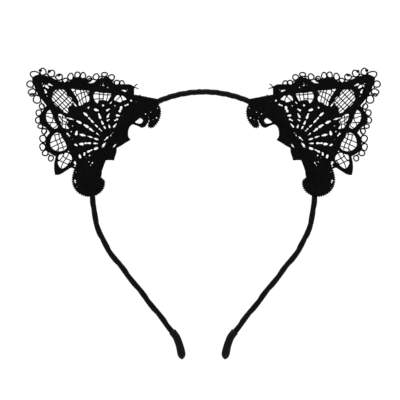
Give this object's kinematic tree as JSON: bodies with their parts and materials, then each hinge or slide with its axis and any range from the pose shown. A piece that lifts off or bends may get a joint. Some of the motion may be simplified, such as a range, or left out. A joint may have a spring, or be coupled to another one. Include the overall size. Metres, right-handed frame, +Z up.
{
  "type": "lace cat-ear headband",
  "caption": "Ribbon-wrapped spring-wire headband with wired lace cat ears, which spreads to grip the head and holds the ears up",
  "frame": {"origin": "head side of the band's crown, in the middle, where the band rests on the top of the head", "axes": "+X towards the wearer's left along the band's width, -Y towards the front of the ears, +Z up; the band lies in the XZ plane"},
  "size_m": [0.2022, 0.0062, 0.1642],
  "materials": {
    "spring_steel": "drawn spring wire",
    "satin_ribbon": "black satin ribbon wound in a spiral",
    "frame_wire": "black enamelled wire",
    "winding_thread": "black thread wound side by side",
    "lace_thread": "black embroidery thread, matt with a faint thread sheen",
    "net_thread": "fine black thread net",
    "cap_rubber": "smooth black dipped rubber"
  },
  "bodies": {
    "crown": {"core_wire_crown": "spring_steel", "ribbon_wrap_crown": "satin_ribbon"},
    "right_shoulder": {"core_wire_shoulder_right": "spring_steel", "ribbon_wrap_shoulder_right": "satin_ribbon", "ear_frame_wire_right": "frame_wire", "ear_frame_winding_right": "winding_thread", "upper_lashing_right": "winding_thread", "lower_lashing_right": "winding_thread", "folded_margin_right": "lace_thread", "margin_stitches_right": "winding_thread", "lace_fan_right": "lace_thread", "lace_border_right": "lace_thread", "lace_net_right": "net_thread", "picot_edging_right": "lace_thread", "upper_rosette_right": "lace_thread", "lower_rosette_right": "lace_thread", "teardrop_loop_right": "lace_thread"},
    "right_arm": {"core_wire_arm_right": "spring_steel", "ribbon_wrap_arm_right": "satin_ribbon", "tip_cap_right": "cap_rubber"},
    "left_shoulder": {"core_wire_shoulder_left": "spring_steel", "ribbon_wrap_shoulder_left": "satin_ribbon", "ear_frame_wire_left": "frame_wire", "ear_frame_winding_left": "winding_thread", "upper_lashing_left": "winding_thread", "lower_lashing_left": "winding_thread", "folded_margin_left": "lace_thread", "margin_stitches_left": "winding_thread", "lace_fan_left": "lace_thread", "lace_border_left": "lace_thread", "lace_net_left": "net_thread", "picot_edging_left": "lace_thread", "upper_rosette_left": "lace_thread", "lower_rosette_left": "lace_thread", "teardrop_loop_left": "lace_thread"},
    "left_arm": {"core_wire_arm_left": "spring_steel", "ribbon_wrap_arm_left": "satin_ribbon", "tip_cap_left": "cap_rubber"}
  },
  "joints": [
    {"name": "right_crown_flex", "type": "hinge", "parent": "crown", "child": "right_shoulder", "pos_m": [0.01938, 0, -0.00027], "axis": [0, -1, 0], "range_deg": [0, 14], "stiffness_Nm_per_rad": 1.2},
    {"name": "right_side_flex", "type": "hinge", "parent": "right_shoulder", "child": "right_arm", "pos_m": [0.06419, 0, -0.06354], "axis": [0, -1, 0], "range_deg": [0, 8], "stiffness_Nm_per_rad": 1},
    {"name": "left_crown_flex", "type": "hinge", "parent": "crown", "child": "left_shoulder", "pos_m": [-0.01938, 0, -0.00027], "axis": [0, 1, 0], "range_deg": [0, 14], "stiffness_Nm_per_rad": 1.2},
    {"name": "left_side_flex", "type": "hinge", "parent": "left_shoulder", "child": "left_arm", "pos_m": [-0.06419, 0, -0.06354], "axis": [0, 1, 0], "range_deg": [0, 8], "stiffness_Nm_per_rad": 1}
  ]
}
